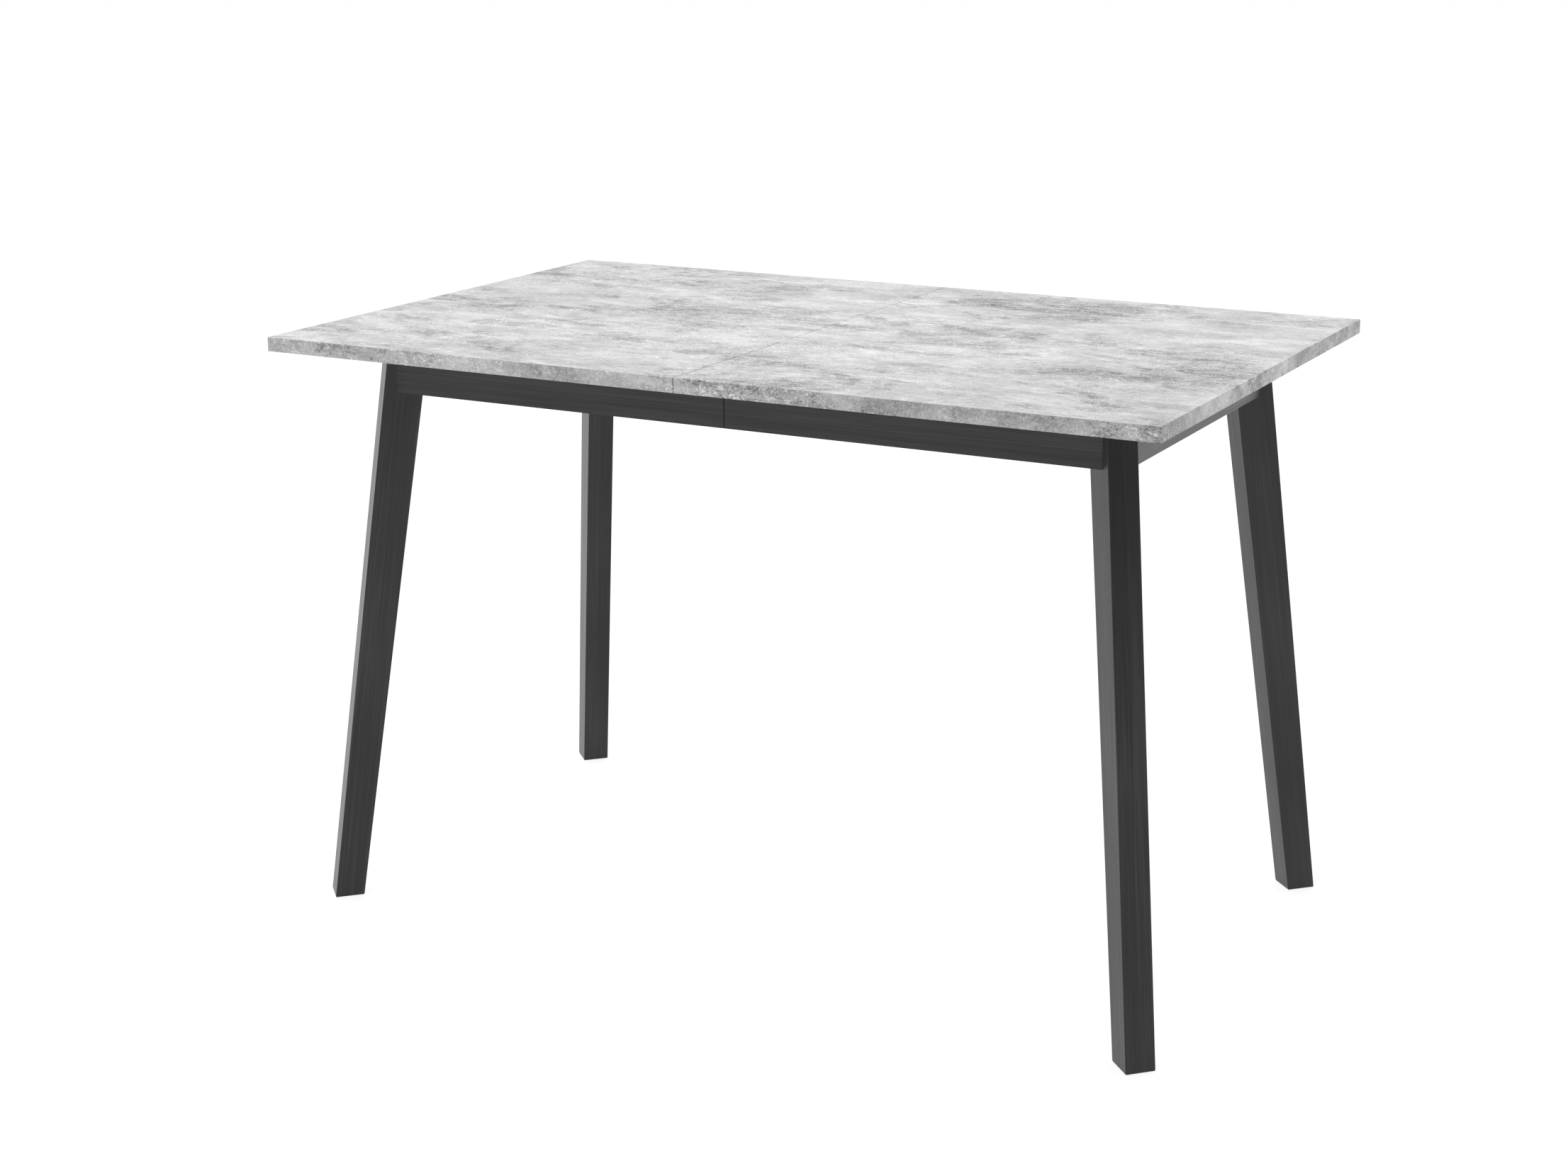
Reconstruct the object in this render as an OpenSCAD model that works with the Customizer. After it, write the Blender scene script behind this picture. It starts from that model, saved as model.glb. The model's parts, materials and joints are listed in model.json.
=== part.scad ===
// Extendable dining table: two half tables that part on synchronised slides,
// with a folding extension leaf stored under the tops. Drawn closed.
// X runs along the table, Y across it, Z up; the origin is on the floor under the centre.

/* [Table top] */
// Closed length of the table along X
table_length = 1180; // [980:10:1420]
// Width of the table along Y
table_width = 750; // [700:10:900]
// Height of the top surface above the floor
table_height = 760; // [630:5:920]
// Thickness of the laminated boards
board_t = 18; // [15:0.5:22]
// Thickness of the edge band
band_t = 1; // [0.6:0.1:2]
// Gap between the half tops when closed
seam_gap = 0.4; // [0.2:0.1:1]

/* [Extension] */
// How far the right half travels, and the length of the leaf
extension = 400; // [300:10:500]
// Free height between the stored leaf and the half tops
leaf_top_gap = 4; // [3:0.5:6]
// Gap between the two folded panels
fold_gap = 1; // [0.5:0.1:3]
// Thickness of the felt pads under the leaf
felt_t = 1; // [0.5:0.1:2]

/* [Frame] */
// Height of the aprons
apron_h = 64; // [62:1:90]
// Thickness of the aprons
apron_t = 18; // [14:1:22]
// From the long edge of the top in to the long apron
side_setback = 118; // [90:1:130]
// From the short edge of the top in to the end apron
end_setback = 83; // [60:1:110]
// Gap between the half aprons at the middle of the table
apron_gap = 1; // [0.5:0.1:3]

/* [Legs] */
// Thickness of a leg, square to the diagonal
leg_w = 37; // [28:1:44]
// Depth of a leg along the diagonal, under the top
leg_top_d = 52; // [42:1:64]
// Depth of a leg along the diagonal, at the floor
leg_foot_d = 38; // [28:1:50]
// From the frame's corner in to the leg's centre, along the diagonal
leg_inset = 36; // [30:1:46]
// How far the foot stands out from the leg's top, along the diagonal
leg_splay = 105; // [60:1:130]
// Thickness of the corner blocks, square to the leg's inner face
block_t = 28; // [20:1:36]

/* [Slides] */
// Outer width of a slide channel
channel_w = 26; // [22:1:30]
// Outer height of a slide channel
channel_h = 24; // [20:1:28]
// Wall of a slide channel
channel_wall = 2.5; // [1.5:0.1:3]
// Width of the slot along the bottom of a channel
channel_slot = 13; // [10:0.5:16]
// Width of the screw flange of a channel
flange_w = 12; // [10:1:14]
// Thickness of the battens that carry the leaf
batten_t = 12; // [10:1:14]

/* [Synchronising gear] */
// Module of the rack and the pinion
gear_module = 1.5; // [1:0.1:2]
// Teeth on the pinion, an even number
pinion_teeth = 24; // [18:2:28]
// Face width of the pinion and height of the racks
gear_h = 6; // [5:0.5:7]
// Diameter of the pinion's axle
axle_d = 6; // [5:0.5:8]

/* [Latches] */
// From a latch's pivot to its keeper stud
latch_reach = 50; // [44:1:60]
// From the seam to a latch's pivot
latch_back = 32; // [28:1:36]
// Diameter of a latch's pivot
pivot_d = 5; // [4:0.5:6]
// Diameter of a keeper stud
stud_d = 6; // [5:0.5:8]

/* [Hidden] */
$fn = 48;
slack = 0.05;        // radial running clearance of turning parts
cut = 1;             // how far a cutter passes the face it opens
hx = table_length / 2;
hy = table_width / 2;
under_z = table_height - board_t;
mid_board_z = under_z + board_t / 2;
frame_x = hx - end_setback;          // outer face of the end aprons
frame_y = hy - side_setback;         // outer face of the long aprons
apron_z = under_z - apron_h;
apron_mid = apron_t / 2;
diag = sqrt(2);
apron_end_x = frame_x - leg_w / 2 * diag;    // where a long apron meets the leg's side
apron_end_y = frame_y - leg_w / 2 * diag;    // where an end apron meets the leg's side

// Legs and corner blocks, in a corner's own frame: X out along the diagonal, Y across it
leg_in_top = -leg_inset - leg_top_d / 2;
leg_in_foot = -leg_inset + leg_splay - leg_foot_d / 2;
leg_slope = (leg_in_foot - leg_in_top) / under_z;
leg_angle = atan(leg_slope);
block_top_gap = 1;
block_bottom_gap = 7;
block_z0 = apron_z + block_bottom_gap;
block_z1 = under_z - block_top_gap;
block_mid_z = (block_z0 + block_z1) / 2;
block_run = block_t / cos(leg_angle);
block_reach = (-leg_in_top + block_run) * diag - apron_t;   // along an apron, from the corner

// Fasteners: shank diameter, head diameter, head height
wood_screw = [4.5, 8.5, 3];
small_screw = [4, 8, 2.2];
gear_screw = [4, 7, 2];
gear_screw_tail = 1;
small_screw_bite = 12;
bolt_d = 8;
bolt_clear = 8.6;
bolt_pitch = 28;
bolt_bite = 40;
bolt_tail = 4;
washer = [22, 1.6];
nut = [15, 6.5];

// Screws that hold the aprons under the top
top_screw_bite = 12;
top_screw_sink = 30;
top_screw_edge = 70;

// Block screws
block_screw_wood = 12;
block_screw_bite = 13;
counterbore_d = 9;

// Slides
channel_gap = 2;
channel_y = frame_y - apron_t - channel_gap - channel_w / 2;
channel_x0 = 3;
channel_end_gap = 6;
channel_x1 = frame_x - block_reach - channel_end_gap;
channel_z = under_z - channel_h;
cavity_w = channel_w - 2 * channel_wall;
cavity_h = channel_h - 2 * channel_wall;
bar_gap = 0.8;
pad_gap = 0.3;
neck_gap = 0.6;
pad_l = 30;
bar_end_gap = 8;
bar_half = channel_x1 - bar_end_gap;
channel_screw_edge = 30;
stop_x = 60;
stop_d = 5;
stop_margin = 1.5;
stop_play = 0.5;                      // under the screw's point
stop_bite = 8;
groove_depth = 4;

// Leaf
panel_top_z = under_z - leaf_top_gap;
leaf_joint_gap = 0.6;                 // between the panels when they lie open
panel_y = hy - leaf_joint_gap / 2;    // width of one panel
spine_y = -panel_y / 2;
upper_z = panel_top_z - board_t;
lower_z = upper_z - fold_gap - board_t;
hinge_barrel = [12, 16];
hinge_link = [8, 5];
hinge_places = [-150, 0, 150];
dowel_d = 8;
dowel_out = 11.5;
dowel_in = 15;
dowel_gap = 0.1;
dowel_room = 1.5;
dowel_y = [hy / 4, hy * 3 / 4];

// Battens
batten_z = lower_z - felt_t - batten_t;
batten_x = 130;
batten_w = 40;
middle_batten_w = 110;
batten_over = 8;                      // past the middle of the slide bars
batten_half = channel_y + batten_over;
batten_screw_dx = 12;
felt = [24, 60];
felt_y = 120;

// Synchronising gear
pitch_r = gear_module * pinion_teeth / 2;
tooth_pitch = PI * gear_module;
pressure = 20;
tooth_thin = 0.1;
rack_back = 8;
dedendum = 1.25 * gear_module;
gear_top_gap = 1;
gear_z = batten_z - gear_top_gap - gear_h;
rack_root_y = pitch_r + dedendum;
rack_mid_y = rack_root_y + rack_back / 2;
rack_clear = 8;
hanger_x = extension / 2 + dowel_out + rack_clear;
hanger_foot = 24;
hanger_t = 2.5;
hanger_lap = 14;
hanger_lead = 4;                      // of the flange, towards the pinion
hanger_side = 4;                      // past each side of the rack
rack_x1 = hanger_x + hanger_lap - hanger_t;
rack_screw_x = (hanger_x - hanger_lead + rack_x1) / 2;
rack_screw_dx = 4;
rack_spare = 18;
axle_head = [11, 2.2];
axle_play = 0.2;
axle_top_gap = 2;
strap = [14, 1.2];
strap_x = 42;
strap_gap = 0.6;
strap_side_gap = 2;
strap_side = rack_root_y + rack_back + strap_side_gap;
strap_foot = 16;
strap_screw_bite = 9;

// Latches
latch_plate = [56, 26, 1.5];
latch_t = 2.5;
latch_gap = 0.5;
latch_z = under_z - latch_plate[2] - latch_gap - latch_t;
hub_r = 10;
hook_rim = 6;
hook_half = 10;
tail_l = 20;
tail_r = 6;
slot_gap = 0.5;
slot_r = stud_d / 2 + slot_gap;
hook_rim_r = latch_reach + slot_r + hook_rim;
latch_apron_gap = 8.5;                // from a parked hook to the apron
latch_y = frame_y + latch_apron_gap + hook_rim_r;
rivet_head = [9, 1.5];
stud_head = [11, 2];
keeper_plate = [26, 44, 1.5];
keeper_screw_dy = 15;
latch_screw_dx = 20;
flush_screw = [3, 5.6, 1.2];
flush_screw_bite = 10;
rivet_play = 0.2;
stud_play = 0.6;

// Both sides of the table, and both ends
module both_sides() { children(); mirror([0, 1, 0]) children(); }
module left_of() { mirror([1, 0, 0]) children(); }
module half_turn() { rotate([0, 0, 180]) children(); }

// A corner's own frame, at the front right corner of the apron frame
module corner() { translate([frame_x, -frame_y, 0]) rotate([0, 0, -45]) children(); }

// A shape drawn in a corner's upright diagonal plane, given thickness across it
module across_diagonal(width) {
    rotate([90, 0, 0]) linear_extrude(height = width, center = true) children();
}

// A screw that points up +Z, its head below the origin
module screw(kind, length) {
    translate([0, 0, -kind[2]]) cylinder(d = kind[1], h = kind[2]);
    cylinder(d = kind[0], h = length);
}

// ---- fasteners that wood and metal parts are drilled for ----

function apron_screw_x(last) = [top_screw_edge, (top_screw_edge + last) / 2, last];

// Head at the bottom of a deep counterbore, shank up into the top
module half_top_screws() {
    length = apron_h - top_screw_sink + top_screw_bite;
    last = apron_end_x - top_screw_edge;
    seat_z = apron_z + top_screw_sink;
    both_sides() for (x = apron_screw_x(last))
        translate([x, -frame_y + apron_mid, seat_z]) screw(wood_screw, length);
    for (y = [-apron_end_y + top_screw_edge, 0, apron_end_y - top_screw_edge])
        translate([frame_x - apron_mid, y, seat_z]) screw(wood_screw, length);
}

module half_top_counterbores() {
    last = apron_end_x - top_screw_edge;
    both_sides() for (x = apron_screw_x(last))
        translate([x, -frame_y + apron_mid, apron_z - cut])
            cylinder(d = counterbore_d, h = top_screw_sink + cut);
    for (y = [-apron_end_y + top_screw_edge, 0, apron_end_y - top_screw_edge])
        translate([frame_x - apron_mid, y, apron_z - cut])
            cylinder(d = counterbore_d, h = top_screw_sink + cut);
}

// One screw from a corner block into each apron, square to the apron
module place_block_screws() {
    inner = leg_in_top + (under_z - block_mid_z) * leg_slope;
    along = apron_t + diag * (inner - block_run / 2);
    seat = apron_t + block_screw_wood;
    both_sides() translate([frame_x, -frame_y, block_mid_z]) {
        translate([along, seat, 0]) rotate([90, 0, 0]) children();
        translate([-seat, -along, 0]) rotate([0, 90, 0]) children();
    }
}
module half_block_screws() {
    place_block_screws() screw(wood_screw, block_screw_wood + block_screw_bite);
}
module half_block_counterbores() {
    place_block_screws() translate([0, 0, -block_t]) cylinder(d = counterbore_d, h = block_t);
}

// Two bolts at each leg, square to its inner face; +Z runs back from the leg
module place_leg_bolts() {
    both_sides() corner() for (dz = [-bolt_pitch / 2, bolt_pitch / 2]) {
        z = block_mid_z + dz;
        translate([leg_in_top + (under_z - z) * leg_slope, 0, z])
            rotate([0, -90 - leg_angle, 0]) children();
    }
}
module half_leg_bolts() {
    length = bolt_bite + block_t + washer[1] + nut[1] + bolt_tail;
    place_leg_bolts() translate([0, 0, -bolt_bite]) cylinder(d = bolt_d, h = length);
}
module half_leg_washers() {
    place_leg_bolts() translate([0, 0, block_t]) difference() {
        cylinder(d = washer[0], h = washer[1]);
        translate([0, 0, -cut]) cylinder(d = bolt_clear, h = washer[1] + 2 * cut);
    }
}
module half_leg_nuts() {
    place_leg_bolts() translate([0, 0, block_t + washer[1]]) difference() {
        cylinder(d = nut[0], h = nut[1], $fn = 6);
        translate([0, 0, -cut]) cylinder(d = bolt_d, h = nut[1] + 2 * cut);
    }
}

module half_channel_screws() {
    y = -channel_y + channel_w / 2 + flange_w / 2;
    first = channel_x0 + channel_screw_edge;
    last = channel_x1 - channel_screw_edge;
    both_sides() for (x = [first, (first + last) / 2, last])
        translate([x, y, under_z - channel_wall]) screw(small_screw, channel_wall + small_screw_bite);
}

// Stop screws hang from the channel's roof into a groove along the bar
module half_stop_screws() {
    point = groove_depth - stop_play;
    both_sides() translate([stop_x, -channel_y, under_z - channel_wall - point])
        cylinder(d = stop_d, h = point + channel_wall + stop_bite);
}

// ---- half top ----

module half_board() {
    difference() {
        translate([seam_gap / 2, -hy + band_t, under_z])
            cube([hx - band_t - seam_gap / 2, table_width - 2 * band_t, board_t]);
        half_top_screws();
        half_channel_screws();
        half_stop_screws();
    }
}

module half_edge_band() {
    both_sides() translate([seam_gap / 2, -hy, under_z])
        cube([hx - seam_gap / 2, band_t, board_t]);
    translate([hx - band_t, -hy, under_z]) cube([band_t, table_width, board_t]);
}

// Dowels stand out of the right half's seam edge, across the seam
module seam_dowels_at(radius, inner, outer) {
    for (y = dowel_y, side = [-1, 1])
        translate([-outer, side * y, mid_board_z]) rotate([0, 90, 0])
            cylinder(r = radius, h = outer + inner);
}

module left_top() {
    color("gainsboro") difference() {
        left_of() half_board();
        half_turn() rack_hanger_screws();
        seam_dowels_at(dowel_d / 2 + dowel_gap, 0, dowel_out + dowel_room);
        latch_screws_at();
    }
}
module right_top() {
    color("gainsboro") difference() {
        half_board();
        rack_hanger_screws();
        seam_dowels_at(dowel_d / 2, dowel_in, 0);
        keeper_screws_at();
    }
}
module left_edge_band() { color("darkgray") left_of() half_edge_band(); }
module right_edge_band() { color("darkgray") half_edge_band(); }
module seam_dowels() { color("burlywood") seam_dowels_at(dowel_d / 2, dowel_in, dowel_out); }

// ---- apron frame: ends mitred against the upright sides of the legs ----

module half_long_apron() {
    difference() {
        translate([0, 0, apron_z]) linear_extrude(height = apron_h) polygon([
            [apron_gap / 2, -frame_y], [apron_end_x, -frame_y],
            [apron_end_x - apron_t, -frame_y + apron_t], [apron_gap / 2, -frame_y + apron_t]
        ]);
        half_top_counterbores();
        half_top_screws();
        half_block_screws();
    }
}
module half_end_apron() {
    difference() {
        translate([0, 0, apron_z]) linear_extrude(height = apron_h) polygon([
            [frame_x, -apron_end_y], [frame_x, apron_end_y],
            [frame_x - apron_t, apron_end_y - apron_t], [frame_x - apron_t, -apron_end_y + apron_t]
        ]);
        half_top_counterbores();
        half_top_screws();
        half_block_screws();
    }
}
module left_front_apron() { color([0.2, 0.2, 0.2]) left_of() half_long_apron(); }
module left_back_apron() { color([0.2, 0.2, 0.2]) half_turn() half_long_apron(); }
module left_end_apron() { color([0.25, 0.25, 0.25]) left_of() half_end_apron(); }
module right_front_apron() { color([0.2, 0.2, 0.2]) half_long_apron(); }
module right_back_apron() { color([0.2, 0.2, 0.2]) mirror([0, 1, 0]) half_long_apron(); }
module right_end_apron() { color([0.25, 0.25, 0.25]) half_end_apron(); }

// ---- legs, bolts and corner blocks ----

// Splayed and tapered in the diagonal plane, the foot cut level
module leg() {
    foot_x = leg_in_foot;
    difference() {
        corner() across_diagonal(leg_w) polygon([
            [leg_in_top, under_z], [leg_in_top + leg_top_d, under_z],
            [foot_x + leg_foot_d, 0], [foot_x, 0]
        ]);
        half_leg_bolts();
    }
}
module front_left_leg() { color([0.15, 0.15, 0.15]) left_of() leg(); }
module back_left_leg() { color([0.15, 0.15, 0.15]) half_turn() leg(); }
module front_right_leg() { color([0.15, 0.15, 0.15]) leg(); }
module back_right_leg() { color([0.15, 0.15, 0.15]) mirror([0, 1, 0]) leg(); }

// A block that fills the corner behind a leg, parallel to the leg's inner face
module half_corner_blocks() {
    tip = -apron_t * diag;
    far = leg_in_top - block_run - cut;   // past the block's inner face
    top_x = leg_in_top + (under_z - block_z1) * leg_slope;
    low_x = leg_in_top + (under_z - block_z0) * leg_slope;
    difference() {
        both_sides() corner() intersection() {
            translate([0, 0, block_z0]) linear_extrude(height = block_z1 - block_z0)
                polygon([[tip, 0], [far, far - tip], [far, tip - far]]);
            across_diagonal(4 * (tip - far)) polygon([
                [top_x, block_z1], [low_x, block_z0],
                [low_x - block_run, block_z0], [top_x - block_run, block_z1]
            ]);
        }
        place_leg_bolts() translate([0, 0, -cut]) cylinder(d = bolt_clear, h = block_t + 2 * cut);
        half_block_screws();
        half_block_counterbores();
    }
}
module left_corner_blocks() { color("peru") left_of() half_corner_blocks(); }
module right_corner_blocks() { color("peru") half_corner_blocks(); }
module left_leg_bolts() { color("silver") left_of() half_leg_bolts(); }
module right_leg_bolts() { color("silver") half_leg_bolts(); }
module left_leg_washers() { color("silver") left_of() half_leg_washers(); }
module right_leg_washers() { color("silver") half_leg_washers(); }
module left_leg_nuts() { color("silver") left_of() half_leg_nuts(); }
module right_leg_nuts() { color("silver") half_leg_nuts(); }
module left_frame_screws() { color("silver") left_of() { half_block_screws(); half_top_screws(); } }
module right_frame_screws() { color("silver") { half_block_screws(); half_top_screws(); } }

// ---- slides ----

// A channel open below, with a screw flange towards the middle of the table
module half_channel() {
    length = channel_x1 - channel_x0;
    difference() {
        translate([channel_x0, -channel_y - channel_w / 2, channel_z])
            cube([length, channel_w, channel_h]);
        translate([channel_x0 - cut, -channel_y - cavity_w / 2, channel_z + channel_wall])
            cube([length + 2 * cut, cavity_w, cavity_h]);
        translate([channel_x0 - cut, -channel_y - channel_slot / 2, channel_z - cut])
            cube([length + 2 * cut, channel_slot, channel_wall + 2 * cut]);
        half_stop_screws();
    }
    difference() {
        translate([channel_x0, -channel_y + channel_w / 2, under_z - channel_wall])
            cube([length, flange_w, channel_wall]);
        half_channel_screws();
    }
}
module left_front_channel() { color("lightgray") left_of() half_channel(); }
module left_back_channel() { color("lightgray") half_turn() half_channel(); }
module right_front_channel() { color("lightgray") half_channel(); }
module right_back_channel() { color("lightgray") mirror([0, 1, 0]) half_channel(); }
module left_slide_screws() {
    color("silver") left_of() { half_channel_screws(); half_stop_screws(); }
}
module right_slide_screws() { color("silver") { half_channel_screws(); half_stop_screws(); } }

// T-shaped bars run in both halves' channels; their necks carry the battens
module slide_bars() {
    bar_w = cavity_w - 2 * bar_gap;
    bar_z = channel_z + channel_wall + bar_gap;
    bar_h = cavity_h - 2 * bar_gap;
    neck_w = channel_slot - 2 * neck_gap;
    neck_z = batten_z + batten_t;
    groove_l = extension / 2 + stop_d + 2 * stop_margin;
    color("gray") difference() {
        both_sides() {
            translate([-bar_half + pad_l, -channel_y - bar_w / 2, bar_z])
                cube([2 * (bar_half - pad_l), bar_w, bar_h]);
            translate([-bar_half + pad_l, -channel_y - neck_w / 2, neck_z])
                cube([2 * (bar_half - pad_l), neck_w, bar_z + cut - neck_z]);
        }
        both_sides() for (side = [-1, 1])
            translate([side * (stop_x + extension / 4) - groove_l / 2,
                -channel_y - stop_d / 2 - pad_gap, bar_z + bar_h - groove_depth])
                cube([groove_l, stop_d + 2 * pad_gap, groove_depth + cut]);
        all_batten_screws();
    }
}

// Nylon blocks on the bars' ends bear on the inside of the channels
module glide_pads() {
    color("white") both_sides() for (x = [-bar_half, bar_half - pad_l])
        translate([x, -channel_y - cavity_w / 2 + pad_gap, channel_z + channel_wall + pad_gap])
            cube([pad_l, cavity_w - 2 * pad_gap, cavity_h - 2 * pad_gap]);
}

// ---- battens that carry the leaf ----

module all_batten_screws() {
    both_sides() for (x = [-batten_x, 0, batten_x], dx = [-batten_screw_dx, batten_screw_dx])
        translate([x + dx, -channel_y, batten_z + small_screw[2]])
            screw(small_screw, batten_t + small_screw_bite);
    foot_y = strap_side + strap[1] + strap_foot / 2;
    both_sides() for (x = [-strap_x, strap_x])
        translate([x, -foot_y, batten_z - strap[1]]) screw(small_screw, strap[1] + strap_screw_bite);
}
module batten(x, width) {
    difference() {
        translate([x - width / 2, -batten_half, batten_z]) cube([width, 2 * batten_half, batten_t]);
        all_batten_screws();
        axle_shape();
    }
}
module left_batten() { color("burlywood") batten(-batten_x, batten_w); }
module middle_batten() { color("burlywood") batten(0, middle_batten_w); }
module right_batten() { color("burlywood") batten(batten_x, batten_w); }
module batten_screws() { color("silver") all_batten_screws(); }
module felt_pads() {
    color("dimgray") for (x = [-batten_x, 0, batten_x], y = [-felt_y, felt_y])
        translate([x - felt[0] / 2, y - felt[1] / 2, batten_z + batten_t])
            cube([felt[0], felt[1], felt_t]);
}

// ---- synchronising gear: one pinion on the middle batten between two racks ----

function involute(r, base) = tan(acos(base / r)) * 180 / PI - acos(base / r);
function polar(r, a) = [r * cos(a), r * sin(a)];

module pinion_outline() {
    base = pitch_r * cos(pressure);
    tip = pitch_r + gear_module;
    root = pitch_r - dedendum;
    half = 90 / pinion_teeth - tooth_thin / pitch_r * 180 / PI + involute(pitch_r, base);
    steps = 4;
    radii = [for (i = [0:steps]) base + (tip - base) * i / steps];
    flank = concat([[root, half]], [for (r = radii) [r, half - involute(r, base)]]);
    polygon([for (i = [0:pinion_teeth - 1]) let (a = i * 360 / pinion_teeth + 90)
        each concat([for (p = flank) polar(p[0], a - p[1])],
                    [for (j = [len(flank) - 1:-1:0]) polar(flank[j][0], a + flank[j][1])])]);
}
module sync_pinion() {
    color("ivory") translate([0, 0, gear_z]) difference() {
        linear_extrude(height = gear_h) pinion_outline();
        translate([0, 0, -cut]) cylinder(r = axle_d / 2 + slack, h = gear_h + 2 * cut);
    }
}

module axle_shape() {
    head_z = gear_z - axle_play;
    translate([0, 0, head_z - axle_head[1]]) cylinder(d = axle_head[0], h = axle_head[1]);
    translate([0, 0, head_z]) cylinder(d = axle_d, h = batten_z + batten_t - axle_top_gap - head_z);
}
module pinion_axle() { color("silver") axle_shape(); }

// The right half's rack, on the front side of the pinion, a tooth space at the pinion's centre
module rack() {
    x0 = -extension / 2 - rack_spare;
    first = ceil(x0 / tooth_pitch + 0.5);
    last = floor((rack_x1 - hanger_lap - hanger_lead) / tooth_pitch - 0.5);
    slope = tan(pressure);
    tip_half = tooth_pitch / 4 - tooth_thin - gear_module * slope;
    root_half = tooth_pitch / 4 - tooth_thin + dedendum * slope;
    teeth = [for (i = [first:last]) let (x = (i + 0.5) * tooth_pitch) each [
        [x - root_half, -rack_root_y], [x - tip_half, -pitch_r + gear_module],
        [x + tip_half, -pitch_r + gear_module], [x + root_half, -rack_root_y]]];
    difference() {
        translate([0, 0, gear_z]) linear_extrude(height = gear_h) polygon(concat(
            [[rack_x1, -rack_root_y - rack_back], [x0, -rack_root_y - rack_back], [x0, -rack_root_y]],
            teeth, [[rack_x1, -rack_root_y]]));
        rack_screws();
    }
}
module rack_hanger() {
    width = rack_back + 2 * hanger_side;
    flange_z = gear_z + gear_h;
    difference() {
        translate([0, -rack_mid_y - width / 2, 0]) {
            translate([hanger_x - hanger_lead, 0, flange_z])
                cube([hanger_lap + hanger_lead, width, hanger_t]);
            translate([rack_x1, 0, flange_z]) cube([hanger_t, width, under_z - flange_z]);
            translate([rack_x1, 0, under_z - hanger_t]) cube([hanger_foot, width, hanger_t]);
        }
        rack_screws();
        rack_hanger_screws();
    }
}
module rack_screws() {
    for (dx = [-rack_screw_dx, rack_screw_dx])
        translate([rack_screw_x + dx, -rack_mid_y, gear_z])
            screw(gear_screw, gear_h + hanger_t + gear_screw_tail);
}
module rack_hanger_screws() {
    translate([hanger_x + hanger_lap + hanger_foot / 2, -rack_mid_y, under_z - hanger_t])
        screw(small_screw, hanger_t + small_screw_bite);
}
module half_rack_screws() { rack_screws(); rack_hanger_screws(); }
module right_rack() { color("ivory") rack(); }
module left_rack() { color("ivory") half_turn() rack(); }
module right_rack_hanger() { color("lightgray") rack_hanger(); }
module left_rack_hanger() { color("lightgray") half_turn() rack_hanger(); }
module right_rack_screws() { color("silver") half_rack_screws(); }
module left_rack_screws() { color("silver") half_turn() half_rack_screws(); }

// Straps under the middle batten keep the racks in mesh
module rack_guides() {
    floor_z = gear_z - strap_gap - strap[1];
    color("lightgray") difference() {
        for (x = [-strap_x, strap_x]) translate([x - strap[0] / 2, 0, 0]) {
            translate([0, -strap_side - strap[1], floor_z])
                cube([strap[0], 2 * (strap_side + strap[1]), strap[1]]);
            both_sides() {
                translate([0, -strap_side - strap[1], floor_z])
                    cube([strap[0], strap[1], batten_z - floor_z]);
                translate([0, -strap_side - strap[1] - strap_foot, batten_z - strap[1]])
                    cube([strap[0], strap_foot + strap[1], strap[1]]);
            }
        }
        all_batten_screws();
    }
}

// ---- extension leaf, folded face to face ----

module leaf_dowels_at(radius, end_x, inner, outer) {
    for (z = [lower_z, upper_z], y = dowel_y)
        translate([end_x - outer, spine_y + y, z + board_t / 2]) rotate([0, 90, 0])
            cylinder(r = radius, h = outer + inner);
}
module leaf_panel(z) {
    difference() {
        translate([-extension / 2, spine_y, z]) cube([extension, panel_y - band_t, board_t]);
        leaf_hinge_shapes();
        leaf_dowels_at(dowel_d / 2, -extension / 2, dowel_in, 0);
        leaf_dowels_at(dowel_d / 2 + dowel_gap, extension / 2, cut, dowel_out + dowel_room);
    }
}
module lower_leaf_panel() { color("gainsboro") leaf_panel(lower_z); }
module upper_leaf_panel() { color("gainsboro") leaf_panel(upper_z); }
module leaf_dowels() {
    color("burlywood") leaf_dowels_at(dowel_d / 2, -extension / 2, dowel_in, dowel_out);
}
module leaf_edge_bands() {
    color("darkgray") for (z = [lower_z, upper_z])
        translate([-extension / 2, spine_y + panel_y - band_t, z]) cube([extension, band_t, board_t]);
}
module leaf_hinge_shapes() {
    reach = hinge_barrel[0] / 2;
    for (x = hinge_places) {
        for (z = [lower_z, upper_z]) translate([x, spine_y, z + board_t / 2])
            rotate([-90, 0, 0]) cylinder(d = hinge_barrel[0], h = hinge_barrel[1]);
        translate([x - hinge_link[0] / 2, spine_y - hinge_link[1], lower_z + board_t / 2 - reach])
            cube([hinge_link[0], hinge_link[1], upper_z - lower_z + 2 * reach]);
    }
}
module leaf_hinges() { color("goldenrod") leaf_hinge_shapes(); }

// ---- latches: plate and hook on the left half, keeper stud on the right ----

// A latch drawn at its pivot, the hook along +X when it is shut
module place_latches() {
    translate([-latch_back, -latch_y, 0]) children();
    mirror([0, 1, 0]) translate([-latch_back, -latch_y, 0]) children();
}
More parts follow.
